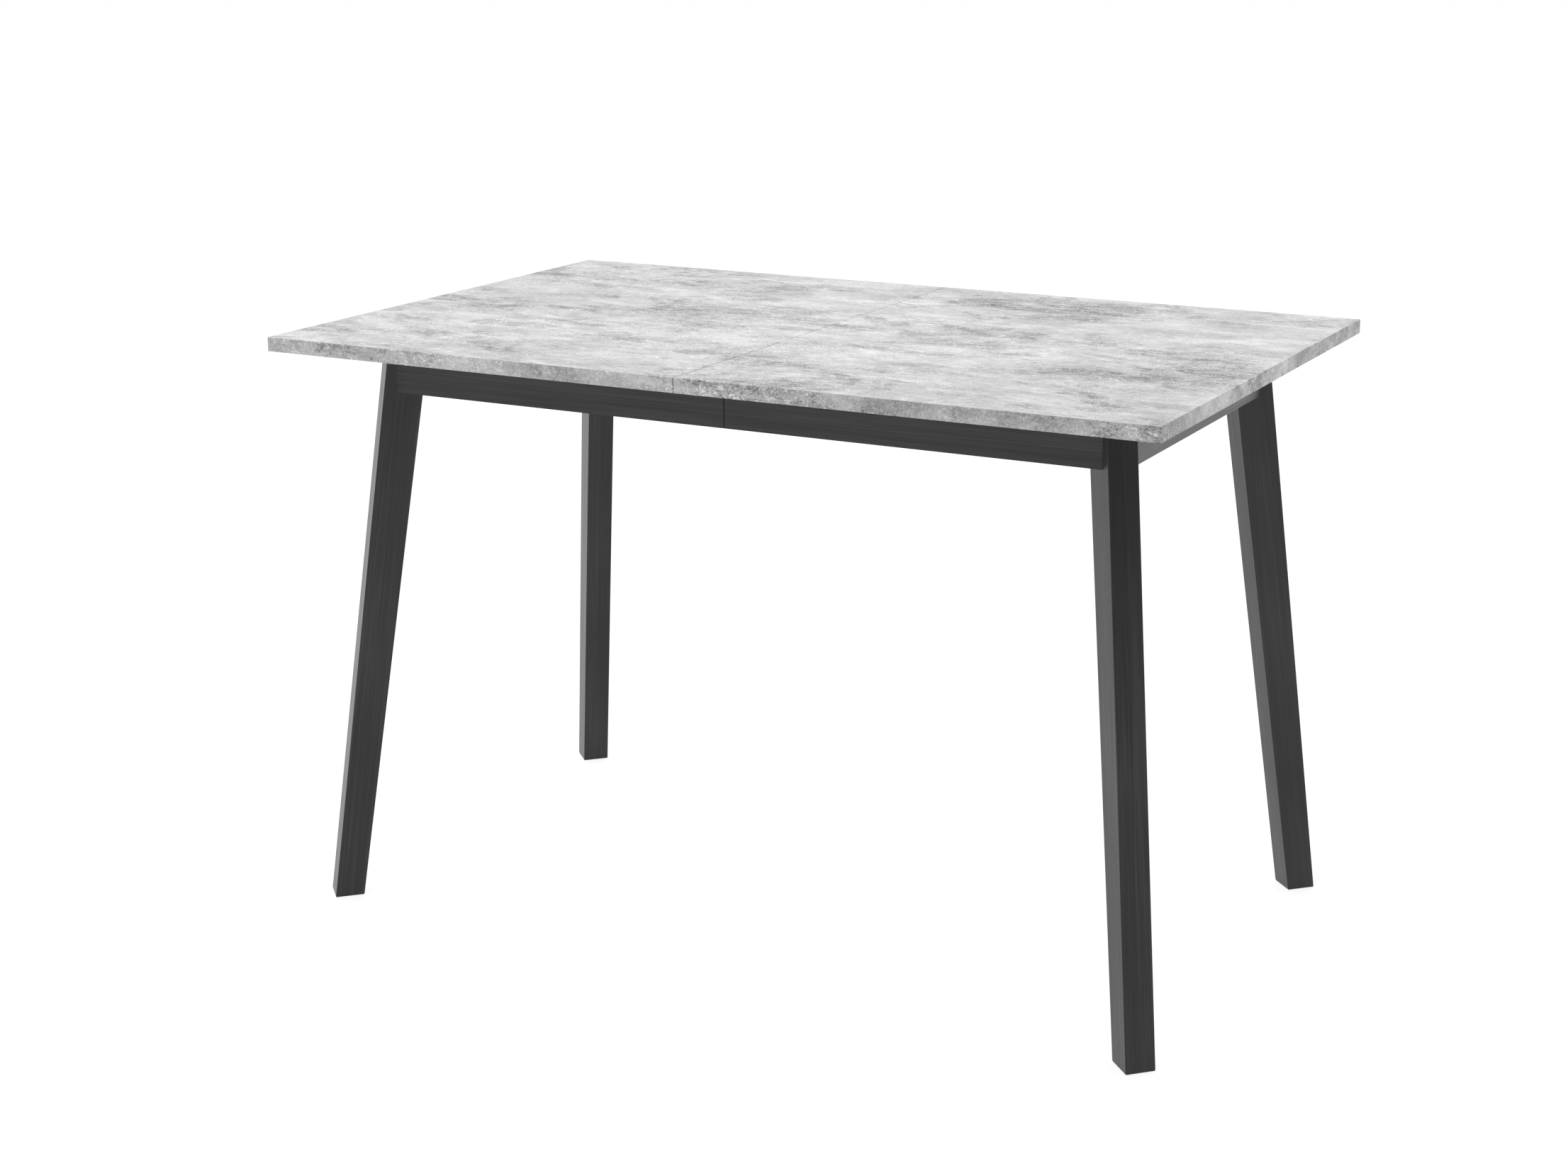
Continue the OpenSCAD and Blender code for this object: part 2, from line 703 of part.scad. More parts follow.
// Flush screws, so that the hook passes over them
module latch_screws_at() {
    place_latches() for (dx = [-latch_screw_dx, latch_screw_dx])
        translate([dx, 0, under_z - latch_plate[2] + flush_screw[2]])
            screw(flush_screw, latch_plate[2] + flush_screw_bite);
}
module latch_plates() {
    color("silver") difference() {
        place_latches()
            translate([-latch_plate[0] / 2, -latch_plate[1] / 2, under_z - latch_plate[2]])
                cube(latch_plate);
        place_latches() translate([0, 0, under_z - latch_plate[2] - cut])
            cylinder(d = pivot_d, h = latch_plate[2] + 2 * cut);
        latch_screws_at();
    }
}
module latch_pivots() {
    color("silver") place_latches() {
        translate([0, 0, latch_z - rivet_play])
            cylinder(d = pivot_d, h = under_z - latch_z + rivet_play);
        translate([0, 0, latch_z - rivet_play - rivet_head[1]])
            cylinder(d = rivet_head[0], h = rivet_head[1]);
    }
}
module latch_screws() { color("silver") latch_screws_at(); }

// The slot is an arc about the pivot, so the hook swings round the stud
module hook_outline() {
    difference() {
        union() {
            circle(r = hub_r);
            intersection() {
                circle(r = hook_rim_r);
                translate([0, -hook_half]) square([hook_rim_r, 2 * hook_half]);
            }
            translate([-tail_l, -tail_r]) square([tail_l, 2 * tail_r]);
            translate([-tail_l, 0]) circle(r = tail_r);
        }
        circle(r = pivot_d / 2 + slack);
        difference() {
            intersection() {
                circle(r = latch_reach + slot_r);
                translate([0, -2 * hook_half]) square([hook_rim_r, 2 * hook_half]);
            }
            circle(r = latch_reach - slot_r);
        }
        translate([latch_reach, 0]) circle(r = slot_r);
    }
}
module parked_hook() {
    translate([-latch_back, -latch_y, latch_z]) rotate([0, 0, 90])
        linear_extrude(height = latch_t) hook_outline();
}
module front_latch_hook() { color("lightgray") parked_hook(); }
module back_latch_hook() { color("lightgray") mirror([0, 1, 0]) parked_hook(); }

// Keeper plates on the right half, each with its headed stud
module place_keepers() {
    both_sides() translate([latch_reach - latch_back, -latch_y, 0]) children();
}
module keeper_screws_at() {
    place_keepers() for (dy = [-keeper_screw_dy, keeper_screw_dy])
        translate([0, dy, under_z - keeper_plate[2] + flush_screw[2]])
            screw(flush_screw, keeper_plate[2] + flush_screw_bite);
}
module keeper_studs() {
    head_z = latch_z - stud_play - stud_head[1];
    color("silver") difference() {
        place_keepers() {
            translate([-keeper_plate[0] / 2, -keeper_plate[1] / 2, under_z - keeper_plate[2]])
                cube(keeper_plate);
            translate([0, 0, head_z]) cylinder(d = stud_d, h = under_z - head_z);
            translate([0, 0, head_z]) cylinder(d = stud_head[0], h = stud_head[1]);
        }
        keeper_screws_at();
    }
}
module keeper_screws() { color("silver") keeper_screws_at(); }

left_top();
left_edge_band();
left_front_apron();
left_back_apron();
left_end_apron();
front_left_leg();
back_left_leg();
left_corner_blocks();
left_leg_bolts();
left_leg_washers();
left_leg_nuts();
left_frame_screws();
left_front_channel();
left_back_channel();
left_slide_screws();
left_rack();
left_rack_hanger();
left_rack_screws();
latch_plates();
latch_pivots();
latch_screws();
right_top();
right_edge_band();
right_front_apron();
right_back_apron();
right_end_apron();
front_right_leg();
back_right_leg();
right_corner_blocks();
right_leg_bolts();
right_leg_washers();
right_leg_nuts();
right_frame_screws();
right_front_channel();
right_back_channel();
right_slide_screws();
right_rack();
right_rack_hanger();
right_rack_screws();
keeper_studs();
keeper_screws();
seam_dowels();
slide_bars();
glide_pads();
left_batten();
middle_batten();
right_batten();
batten_screws();
felt_pads();
pinion_axle();
rack_guides();
lower_leaf_panel();
upper_leaf_panel();
leaf_edge_bands();
leaf_hinges();
leaf_dowels();
sync_pinion();
front_latch_hook();
back_latch_hook();
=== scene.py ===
# %% [markdown]
# # Extendable dining table
# Two half tables stand together with their tops edge to edge. Underneath, T-shaped bars run
# in metal channels, a pinion between two racks makes both ends move alike, and a folded leaf
# waits to fill the gap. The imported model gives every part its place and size. This lesson
# gives each part its finish, and models again by hand the pieces whose small shapes matter:
# eased wooden edges, screw heads, threads, nuts and felt.

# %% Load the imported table
import bpy, bmesh, json, math
from mathutils import Matrix, Vector


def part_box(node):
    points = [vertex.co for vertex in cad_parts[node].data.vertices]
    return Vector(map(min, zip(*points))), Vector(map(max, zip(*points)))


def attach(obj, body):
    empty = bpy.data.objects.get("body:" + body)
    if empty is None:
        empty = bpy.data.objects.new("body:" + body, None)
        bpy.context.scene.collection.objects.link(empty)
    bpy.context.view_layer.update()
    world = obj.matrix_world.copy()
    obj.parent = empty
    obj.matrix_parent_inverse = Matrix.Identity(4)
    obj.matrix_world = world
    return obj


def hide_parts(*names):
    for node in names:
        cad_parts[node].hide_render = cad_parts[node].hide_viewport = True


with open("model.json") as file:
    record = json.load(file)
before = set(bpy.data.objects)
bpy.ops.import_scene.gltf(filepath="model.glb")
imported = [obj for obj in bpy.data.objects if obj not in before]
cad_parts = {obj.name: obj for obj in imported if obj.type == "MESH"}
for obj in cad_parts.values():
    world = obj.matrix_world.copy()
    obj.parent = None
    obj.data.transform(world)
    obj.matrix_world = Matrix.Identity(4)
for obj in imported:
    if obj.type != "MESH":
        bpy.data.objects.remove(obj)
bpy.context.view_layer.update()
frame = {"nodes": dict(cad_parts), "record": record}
nodes = frame["nodes"]
body_of = {n: b for b, names in frame["record"]["behaviour"]["bodies"].items() for n in names}
slot_of = {s["node"]: s["material_slot"] for s in frame["record"]["subparts"]}

# %% [markdown]
# ## Camera
# A long lens a little above table height keeps the legs nearly parallel. The camera is placed
# by its three directions: forwards, right and up. A small downward lens shift keeps the
# uprights from leaning without tilting the camera further.

# %% Camera
YAW, PITCH, ROLL = 0.4914, 0.2242, -0.0034
AIM = Vector((0, 0, 0.4))
DISTANCE, SIDE, RISE = 3.3247, 0.0503, -0.1799
LENS, SENSOR, LENS_SHIFT, FAR_END = 58.449, 36, -0.0802, 60
forward = Vector((-math.sin(YAW) * math.cos(PITCH),
                  math.cos(YAW) * math.cos(PITCH),
                  -math.sin(PITCH)))
level = Vector((math.cos(YAW), math.sin(YAW), 0))
upright = level.cross(forward)
right = level * math.cos(ROLL) + upright * math.sin(ROLL)
up = upright * math.cos(ROLL) - level * math.sin(ROLL)
camera_data = bpy.data.cameras.new("camera")
camera_data.lens = LENS
camera_data.sensor_width = SENSOR
camera_data.shift_y = LENS_SHIFT
camera_data.clip_end = FAR_END
camera = bpy.data.objects.new("camera", camera_data)
bpy.context.scene.collection.objects.link(camera)
turn = Matrix((right, up, -forward)).transposed().to_4x4()
camera.matrix_world = Matrix.Translation(AIM - forward * DISTANCE - right * SIDE - up * RISE) @ turn
bpy.context.scene.camera = camera
bpy.context.scene.view_settings.view_transform = "Standard"
print("camera at", [round(c, 3) for c in camera.location])

# %% [markdown]
# ## Studio
# Dark satin lacquer shows its shape by what it mirrors. Faces seen at a low angle mirror the
# bright far side of the room, and faces seen square on mirror the dimmer side behind the
# camera. So the room is brighter at the back and left than at the front, and a wide panel
# overhead with a narrow one high in front evens out the light on the top. The floor glows a
# little, as a lit studio table does, so that shadows on it stay faint. Its underside is clear,
# so that the table can also be looked at from below.

# %% Studio light and floor
def add_node(tree, kind, **values):
    node = tree.nodes.new(kind)
    for name, value in values.items():
        if name in node.inputs:
            node.inputs[name].default_value = value
        else:
            setattr(node, name, value)
    return node


BRIGHT_SIDE = (-0.62, 0.785, 0.0)
DIM_ROOM, BRIGHT_ROOM = 0.25, 1.90
FADE_START, FADE_END = -0.75, 0.85
PANEL_AIM = (0, 0, 0.7)
FLOOR_TONE, FLOOR_GLOW = (0.22, 0.22, 0.22, 1), 0.86
FLOOR_SIZE, FLOOR_LEVEL = 30, -0.0005
WHITE = (1, 1, 1, 1)
world = bpy.data.worlds.new("studio")
bpy.context.scene.world = world
world.use_nodes = True
sky = world.node_tree
sky.nodes.clear()
where = add_node(sky, "ShaderNodeTexCoord")
facing = add_node(sky, "ShaderNodeVectorMath", operation="DOT_PRODUCT")
facing.inputs[1].default_value = BRIGHT_SIDE
sky.links.new(where.outputs["Generated"], facing.inputs[0])
back = add_node(sky, "ShaderNodeMapRange", interpolation_type="SMOOTHSTEP")
for socket, value in (("From Min", FADE_START), ("From Max", FADE_END),
                      ("To Min", DIM_ROOM), ("To Max", BRIGHT_ROOM)):
    back.inputs[socket].default_value = value
sky.links.new(facing.outputs["Value"], back.inputs["Value"])
room = add_node(sky, "ShaderNodeBackground")
sky.links.new(back.outputs["Result"], room.inputs["Strength"])
backdrop = add_node(sky, "ShaderNodeBackground", Strength=1.0)
for shade in (room, backdrop):
    shade.inputs["Color"].default_value = WHITE
ray = add_node(sky, "ShaderNodeLightPath")
choose = add_node(sky, "ShaderNodeMixShader")
sky.links.new(ray.outputs["Is Camera Ray"], choose.inputs[0])
sky.links.new(room.outputs[0], choose.inputs[1])
sky.links.new(backdrop.outputs[0], choose.inputs[2])
sky.links.new(choose.outputs[0], add_node(sky, "ShaderNodeOutputWorld").inputs[0])


def soft_panel(name, place, aim, size, power):
    data = bpy.data.lights.new(name, "AREA")
    data.shape = "RECTANGLE"
    data.size, data.size_y = size
    data.energy = power
    panel = bpy.data.objects.new(name, data)
    bpy.context.scene.collection.objects.link(panel)
    panel.location = place
    panel.rotation_euler = (Vector(aim) - Vector(place)).to_track_quat("-Z", "Y").to_euler()


soft_panel("panel_overhead", (0, 0.2, 3.2), PANEL_AIM, size=(3.6, 3.2), power=7)
soft_panel("panel_front", (-0.6, -2.6, 2.3), PANEL_AIM, size=(2.4, 0.8), power=14)

bpy.ops.mesh.primitive_plane_add(size=FLOOR_SIZE, location=(0, 0, FLOOR_LEVEL))
floor = bpy.context.object
floor.name = "studio_floor"
floor_finish = bpy.data.materials.new("floor_white")
floor_finish.use_nodes = True
floor.data.materials.append(floor_finish)
floor_tree = floor_finish.node_tree
floor_shader = floor_tree.nodes["Principled BSDF"]
floor_shader.inputs["Base Color"].default_value = FLOOR_TONE
floor_shader.inputs["Roughness"].default_value = 1.0
floor_shader.inputs["Specular IOR Level"].default_value = 0.0
floor_shader.inputs["Emission Color"].default_value = WHITE
floor_shader.inputs["Emission Strength"].default_value = FLOOR_GLOW
floor_side = add_node(floor_tree, "ShaderNodeNewGeometry")
clear = add_node(floor_tree, "ShaderNodeBsdfTransparent")
from_below = add_node(floor_tree, "ShaderNodeMixShader")
floor_surface = floor_tree.nodes["Material Output"].inputs["Surface"]
for output, socket in ((floor_side.outputs["Backfacing"], from_below.inputs[0]),
                       (floor_shader.outputs[0], from_below.inputs[1]),
                       (clear.outputs[0], from_below.inputs[2]),
                       (from_below.outputs[0], floor_surface)):
    floor_tree.links.new(output, socket)

# %% [markdown]
# ## Building a finish from nodes
# Every pattern here is a sum of noises at different sizes, read from Object coordinates in
# metres. A real surface is never one noise: it has large soft clouds, a direction, and a fine
# grain. The helpers below keep each recipe to a few readable lines: one noise, one remap of
# a value to a new range, one piece of arithmetic, or one layer added to a tone.

# %% Helpers for node recipes
class Recipe:
    """One material's node tree, with short calls for the steps that recipes repeat."""

    def __init__(self, name):
        self.material = bpy.data.materials.new(name)
        self.material.use_nodes = True
        self.tree = self.material.node_tree
        self.shader = self.tree.nodes["Principled BSDF"]
        self.place = add_node(self.tree, "ShaderNodeTexCoord").outputs["Object"]

    def link(self, value, socket):
        if isinstance(value, (int, float)):
            socket.default_value = value
        else:
            self.tree.links.new(value, socket)

    def coords(self, stretch=(1, 1, 1), turn=(0, 0, 0), centre=(0, 0, 0)):
        point = self.place
        if any(turn) or any(centre):
            first = add_node(self.tree, "ShaderNodeMapping", vector_type="TEXTURE")
            first.inputs["Location"].default_value = centre
            first.inputs["Rotation"].default_value = turn
            self.tree.links.new(point, first.inputs["Vector"])
            point = first.outputs[0]
        second = add_node(self.tree, "ShaderNodeMapping")
        second.inputs["Scale"].default_value = stretch
        self.tree.links.new(point, second.inputs["Vector"])
        return second.outputs[0]

    def noise(self, coords, detail=3.0, rough=0.55, distort=0.0):
        node = add_node(self.tree, "ShaderNodeTexNoise", Scale=1.0, Detail=detail,
                        Roughness=rough, Distortion=distort)
        self.tree.links.new(coords, node.inputs["Vector"])
        return node.outputs["Fac"]

    def cells(self, coords, output="Distance"):
        node = add_node(self.tree, "ShaderNodeTexVoronoi", Scale=1.0)
        self.tree.links.new(coords, node.inputs["Vector"])
        return node.outputs[output]

    def spread(self, value, low, high, to_low=0.0, to_high=1.0):
        node = add_node(self.tree, "ShaderNodeMapRange", interpolation_type="SMOOTHSTEP")
        self.tree.links.new(value, node.inputs["Value"])
        limits = {"From Min": low, "From Max": high, "To Min": to_low, "To Max": to_high}
        for socket, number in limits.items():
            node.inputs[socket].default_value = number
        return node.outputs["Result"]

    def maths(self, kind, a, b=0.0, c=0.0):
        node = add_node(self.tree, "ShaderNodeMath", operation=kind)
        for socket, value in zip(node.inputs, (a, b, c)):
            self.link(value, socket)
        return node.outputs[0]

    def times(self, a, b):
        return self.maths("MULTIPLY", a, b)

    def centred(self, value):
        return self.maths("SUBTRACT", value, 0.5)

    def layer(self, tone, mask, amount):
        """The tone with an amount of the mask added."""
        return self.maths("MULTIPLY_ADD", mask, amount, tone)

    def axes(self, point):
        node = add_node(self.tree, "ShaderNodeSeparateXYZ")
        self.tree.links.new(point, node.inputs[0])
        return node.outputs

    def tones(self, value, stops):
        node = add_node(self.tree, "ShaderNodeValToRGB")
        ramp = node.color_ramp
        while len(ramp.elements) < len(stops):
            ramp.elements.new(0.5)
        for element, (at, colour) in zip(ramp.elements, stops):
            element.position = at
            element.color = (*colour, 1)
        self.tree.links.new(value, node.inputs[0])
        return node.outputs["Color"]

    def colour(self, value):
        self.tree.links.new(value, self.shader.inputs["Base Color"])

    def rough(self, value):
        self.link(value, self.shader.inputs["Roughness"])

    def bump(self, height, depth, strength=1.0):
        node = add_node(self.tree, "ShaderNodeBump", Distance=depth, Strength=strength)
        self.tree.links.new(height, node.inputs["Height"])
        self.tree.links.new(node.outputs[0], self.shader.inputs["Normal"])


def grey(*stops):
    return [(at, (tone, tone * 1.006, tone * 1.003)) for at, tone in stops]


# %% [markdown]
# ## Trowelled concrete decor
# The boards are faced with a printed decor that imitates trowelled concrete. It has soft
# clouds a hand wide, darker worn zones where sand and small white chips show, smoother pale
# veils, and a few long wavy ridges that the trowel's edge left along the table. The ridges
# have no relief here: each is a painted highlight on one side and a painted shade on the
# other. Clouds and grain are noises whose octaves are nearly equally strong, because worn
# plaster has as much contrast in its grit as in its clouds. The ridges are evenly spaced lines
# whose places a slow noise shifts, so they wander but never close into loops. The arris of
# each board at the seam is a little darker, as painted shade in the seam with a darker cut edge.

# %% Concrete decor for boards and edge bands
PASSES_PER_METRE, PASS_WANDER = 3.3, 1.15
CLOUD_DEPTH, VEIL_LIFT, CHIP_LIFT, HAIR_LIFT = 0.66, 0.11, 0.36, 0.10
RIDGE_LIGHT, RIDGE_SHADE, ARRIS_SHADE = 0.14, -0.11, -0.33
ARRIS_STARTS, ARRIS_ENDS = (0.000205, 0.00026), (0.0009, 0.0004)
HAIR_LEVEL, HAIR_WIDTH = 0.47, 0.0024


def painted_ridge_flanks(r, across_table):
    """The painted highlight on one flank and the painted shade on the other flank of each ridge, both
    broken up by a noise.
    """
    wander = r.noise(r.coords((2.6, 3.0, 3.0), centre=(1.1, -2.3, 0.4)), 3, 0.38)
    passes = r.layer(r.times(across_table, PASSES_PER_METRE), wander, PASS_WANDER)
    offset = r.centred(r.maths("FRACT", passes))
    lit = r.times(r.spread(offset, 0.060, 0.0), r.spread(offset, -0.006, 0.0))
    shaded = r.times(r.spread(offset, -0.026, -0.006), r.spread(offset, 0.0, -0.006))
    broken = r.spread(r.noise(r.coords((7.0, 12.0, 12.0)), 5, 0.75), 0.44, 0.60)
    return r.times(lit, broken), r.times(shaded, broken)


def concrete(name, base, wear, grit, shift=(0.0, 0.0, 0.0)):
    r = Recipe(name)
    axes = r.axes(r.place)
    clouds = r.noise(r.coords((4.6, 7.4, 7.4), centre=shift), 2, 0.8, 0.5)
    grain = r.noise(r.coords((30.0, 44.0, 44.0), centre=shift), 6, 0.95, 0.25)
    patches = r.noise(r.coords((4.6, 8.6, 8.6), centre=(4.0, 1.7, 0.6)), 6, 0.80, 0.5)
    zone = r.spread(patches, 0.47, 0.60)
    veils = r.noise(r.coords((4.0, 13.0, 13.0), centre=(-2.0, 3.1, 0.2)), 5, 0.66, 0.9)
    veils = r.spread(veils, 0.52, 0.68)
    gain = r.maths("ADD", r.layer(0.85, zone, 0.40), r.times(veils, -0.25))
    tone = r.layer(base, r.centred(clouds), CLOUD_DEPTH)
    tone = r.maths("ADD", tone, r.times(r.centred(grain), r.times(gain, grit)))
    tone = r.layer(tone, zone, -wear)
    tone = r.layer(tone, veils, VEIL_LIFT)
    # Painted highlight and painted shade: the lit and shaded flanks of the ridges are laid into the
    # tone, with no relief under them.
    lit, shaded = painted_ridge_flanks(r, axes["Y"])
    tone = r.layer(tone, lit, RIDGE_LIGHT)
    tone = r.layer(tone, shaded, RIDGE_SHADE)
    sand = r.noise(r.coords((420.0, 500.0, 500.0)), 2, 0.85)
    tone = r.maths("ADD", tone, r.times(r.centred(sand), r.layer(0.50, zone, 0.75)))
    chips = r.spread(r.noise(r.coords((115.0, 210.0, 210.0)), 3, 0.75, 1.0), 0.555, 0.66)
    chips = r.times(chips, r.spread(patches, 0.42, 0.58, 0.35, 1.0))
    tone = r.layer(tone, chips, CHIP_LIFT)
    hair = r.noise(r.coords((5.0, 8.0, 8.0), (0, 0, 0.5)), 2, 0.4, 0.8)
    hair = r.maths("ABSOLUTE", r.maths("SUBTRACT", hair, HAIR_LEVEL))
    hair = r.times(r.spread(hair, HAIR_WIDTH, 0.0), r.spread(grain, 0.50, 0.60))
    tone = r.layer(tone, hair, HAIR_LIFT)
    # Painted shade in the seam, with a darker cut edge: a thin darker line on each board just beside
    # the seam.
    from_seam = r.maths("ABSOLUTE", axes["X"])
    arris = r.times(r.spread(from_seam, *ARRIS_ENDS), r.spread(from_seam, *ARRIS_STARTS))
    tone = r.layer(tone, arris, ARRIS_SHADE)
    r.colour(r.tones(tone, grey((0.0, 0.0), (1.0, 1.0))))
    r.rough(r.spread(zone, 0.0, 1.0, 0.46, 0.60))
    r.bump(r.layer(r.times(grain, 0.3), zone, r.times(sand, 0.5)), 0.00010, 0.5)
    r.shader.inputs["Specular IOR Level"].default_value = 0.35
    return r.material


decor_top = concrete("concrete_decor_top", 0.408, 0.105, 1.05)
decor_band = concrete("concrete_decor_band", 0.405, 0.110, 1.05, (0.3, 0.8, 0.4))
print("decor finishes:", decor_top.name, decor_band.name)

# %% [markdown]
# ## Black-stained beech
# Stain and satin lacquer leave beech nearly black, but its fine straight fibres still show
# as faint lighter lines, with small dark flecks along them. Each piece has its grain along its
# length, so the pattern is turned to the piece's own axis: along the table, across
# it, or up a splayed leg. A leg is glued from two laminations, one slightly paler.

# %% Black wood
BLACK_LOW, BLACK_MID, BLACK_HIGH = 0.0030, 0.0110, 0.0285
FIBRE_SHARE, FIGURE_SHARE = 0.42, 0.58
FLECK_DEPTH, GLUE_DRIFT = 0.30, 0.012
SATIN = 0.46


def black_wood(name, turn=(0, 0, 0), centre=(0, 0, 0), glue_line=False, figure=0.38, lift=0.035):
    """Figure is the share that the broad bands take, and soft mist takes what is left."""
    r = Recipe(name)
    fibres = r.noise(r.coords((5.0, 420.0, 420.0), turn, centre), 3, 0.6)
    bands = r.noise(r.coords((1.1, 34.0, 34.0), turn, centre), 3, 0.5, 0.7)
    mist = r.noise(r.coords((4.0, 9.0, 9.0), turn, centre), 2, 0.5)
    shade = r.layer(lift, mist, FIGURE_SHARE - figure)
    shade = r.layer(shade, bands, figure)
    shade = r.layer(shade, fibres, FIBRE_SHARE)
    if glue_line:
        own = r.axes(r.coords((1, 1, 1), turn, centre))
        drift = r.noise(r.coords((1.3, 0.2, 0.2), turn, centre), 1, 0.4)
        side = r.maths("ADD", own["Y"], r.layer(-GLUE_DRIFT / 2, drift, GLUE_DRIFT))
        shade = r.maths("ADD", shade, r.spread(side, -0.0006, 0.0006, -0.055, 0.025))
    fleck = r.cells(r.coords((55.0, 620.0, 620.0), turn, centre))
    rare = r.spread(r.noise(r.coords((20.0, 90.0, 90.0), turn, centre), 1, 0.5), 0.62, 0.68)
    flecks = r.times(r.spread(fleck, 0.26, 0.12), r.times(rare, FLECK_DEPTH))
    shade = r.maths("SUBTRACT", shade, flecks)
    r.colour(r.tones(shade, grey((0.36, BLACK_LOW), (0.50, BLACK_MID), (0.64, BLACK_HIGH))))
    r.rough(r.spread(fibres, 0.3, 0.7, 0.37, 0.29))
    r.bump(fibres, 0.00006, 0.6)
    r.shader.inputs["Specular IOR Level"].default_value = SATIN
    return r.material


black_along = black_wood("black_wood_along")
black_across = black_wood("black_wood_across", turn=(0, 0, math.pi / 2))
print("black wood along and across the table")

# %% [markdown]
# ## Plain wood, metals, nylon and felt
# What is out of sight is left plain: untreated beech for blocks and battens, zinc-plated
# steel for fasteners, drawn aluminium for the slides, cast nylon for the gear and glides. Each
# gets the mark of how it was made. The four corner blocks lie at 45 degrees, each with its
# grain along its own length, so their pattern is folded over both middle lines of the table
# and turned once. The marks are grain and pores, soft zinc spangle, die lines along the
# profile, a faint cloudiness, pressed fibres.

# %% Hidden materials
def plain_wood(name, turn=(0, 0, 0), mirrored=False):
    r = Recipe(name)
    if mirrored:
        folded = add_node(r.tree, "ShaderNodeVectorMath", operation="ABSOLUTE")
        r.tree.links.new(r.place, folded.inputs[0])
        r.place = folded.outputs[0]
    rings = r.noise(r.coords((1.2, 26.0, 26.0), turn), 4, 0.55, 1.2)
    fibres = r.noise(r.coords((9.0, 380.0, 380.0), turn), 3, 0.6)
    rays = r.cells(r.coords((70.0, 420.0, 300.0), turn))
    body = r.layer(r.times(fibres, 0.4), rings, 0.6)
    body = r.maths("SUBTRACT", body, r.spread(rays, 0.22, 0.10, 0.0, 0.09))
    r.colour(r.tones(body, [(0.30, (0.40, 0.255, 0.135)), (0.5, (0.60, 0.43, 0.265)),
                            (0.70, (0.72, 0.56, 0.38))]))
    r.rough(r.spread(fibres, 0.3, 0.7, 0.72, 0.58))
    r.bump(fibres, 0.00015, 0.6)
    return r.material


def zinc(name):
    r = Recipe(name)
    spangle = r.cells(r.coords((320, 320, 320)), "Color")
    cloud = r.noise(r.coords((90, 90, 90)), 4, 0.6)
    tone = r.layer(r.times(cloud, 0.8), r.axes(spangle)["X"], 0.18)
    r.colour(r.tones(tone, [(0.25, (0.46, 0.475, 0.49)), (0.75, (0.72, 0.735, 0.75))]))
    r.shader.inputs["Metallic"].default_value = 1.0
    r.rough(r.spread(cloud, 0.3, 0.7, 0.26, 0.44))
    r.bump(cloud, 0.00003, 0.5)
    return r.material


def drawn_aluminium(name):
    r = Recipe(name)
    die_lines = r.noise(r.coords((1.5, 1500.0, 1500.0)), 2, 0.7)
    cloud = r.noise(r.coords((12, 40, 40)), 3, 0.5)
    tone = r.layer(r.times(cloud, 0.4), die_lines, 0.6)
    r.colour(r.tones(tone, [(0.3, (0.60, 0.61, 0.62)), (0.7, (0.80, 0.81, 0.82))]))
    r.shader.inputs["Metallic"].default_value = 1.0
    r.rough(r.spread(die_lines, 0.3, 0.7, 0.30, 0.46))
    r.bump(die_lines, 0.00003, 0.5)
    return r.material


def nylon(name):
    r = Recipe(name)
    cloud = r.noise(r.coords((60, 60, 60)), 4, 0.6, 0.4)
    r.colour(r.tones(cloud, [(0.3, (0.70, 0.675, 0.60)), (0.7, (0.80, 0.785, 0.72))]))
    r.rough(r.spread(cloud, 0.3, 0.7, 0.36, 0.50))
    r.bump(r.noise(r.coords((1400, 1400, 1400)), 2, 0.6), 0.00003, 0.4)
    r.shader.inputs["Subsurface Weight"].default_value = 0.08
    r.shader.inputs["Subsurface Radius"].default_value = (0.004, 0.003, 0.002)
    r.shader.inputs["Subsurface Scale"].default_value = 0.5
    return r.material


def brass(name):
    r = Recipe(name)
    cloud = r.noise(r.coords((70, 70, 70)), 4, 0.6, 0.5)
    scratch = r.noise(r.coords((60, 900, 300)), 2, 0.6)
    r.colour(r.tones(cloud, [(0.3, (0.52, 0.36, 0.14)), (0.7, (0.80, 0.62, 0.30))]))
    r.shader.inputs["Metallic"].default_value = 1.0
    r.rough(r.spread(scratch, 0.3, 0.7, 0.24, 0.42))
    r.bump(scratch, 0.00002, 0.5)
    return r.material


def pressed_felt(name):
    r = Recipe(name)
    fibres = r.noise(r.coords((900, 900, 300)), 4, 0.75, 2.5)
    tufts = r.noise(r.coords((140, 140, 140)), 3, 0.6)
    body = r.layer(r.times(tufts, 0.35), fibres, 0.65)
    r.colour(r.tones(body, grey((0.3, 0.055), (0.55, 0.11), (0.72, 0.20))))
    r.shader.inputs["Roughness"].default_value = 0.95
    r.shader.inputs["Sheen Weight"].default_value = 0.4
    r.bump(fibres, 0.0004, 0.8)
    return r.material


beech_along = plain_wood("plain_beech_along")
beech_across = plain_wood("plain_beech_across", (0, 0, math.pi / 2))
beech_corner = plain_wood("plain_beech_corner", (0, 0, -math.pi / 4), mirrored=True)
steel = zinc("zinc_plated_steel")
finishes = {
    "decor_board": decor_top, "edge_band": decor_band, "black_wood": black_along,
    "plain_wood": beech_along, "zinc_steel": steel,
    "slide_aluminium": drawn_aluminium("drawn_aluminium"), "nylon": nylon("cast_nylon"),
    "felt": pressed_felt("pressed_felt"), "brass": brass("plain_brass"),
}
across = {"left_end_apron": black_across, "right_end_apron": black_across,
          "left_batten": beech_across, "middle_batten": beech_across, "right_batten": beech_across}
for name, part in nodes.items():
    for holder in part.material_slots:
        holder.material = across.get(name, finishes[slot_of[name]])
print(len(finishes), "slots finished on", len(nodes), "parts")

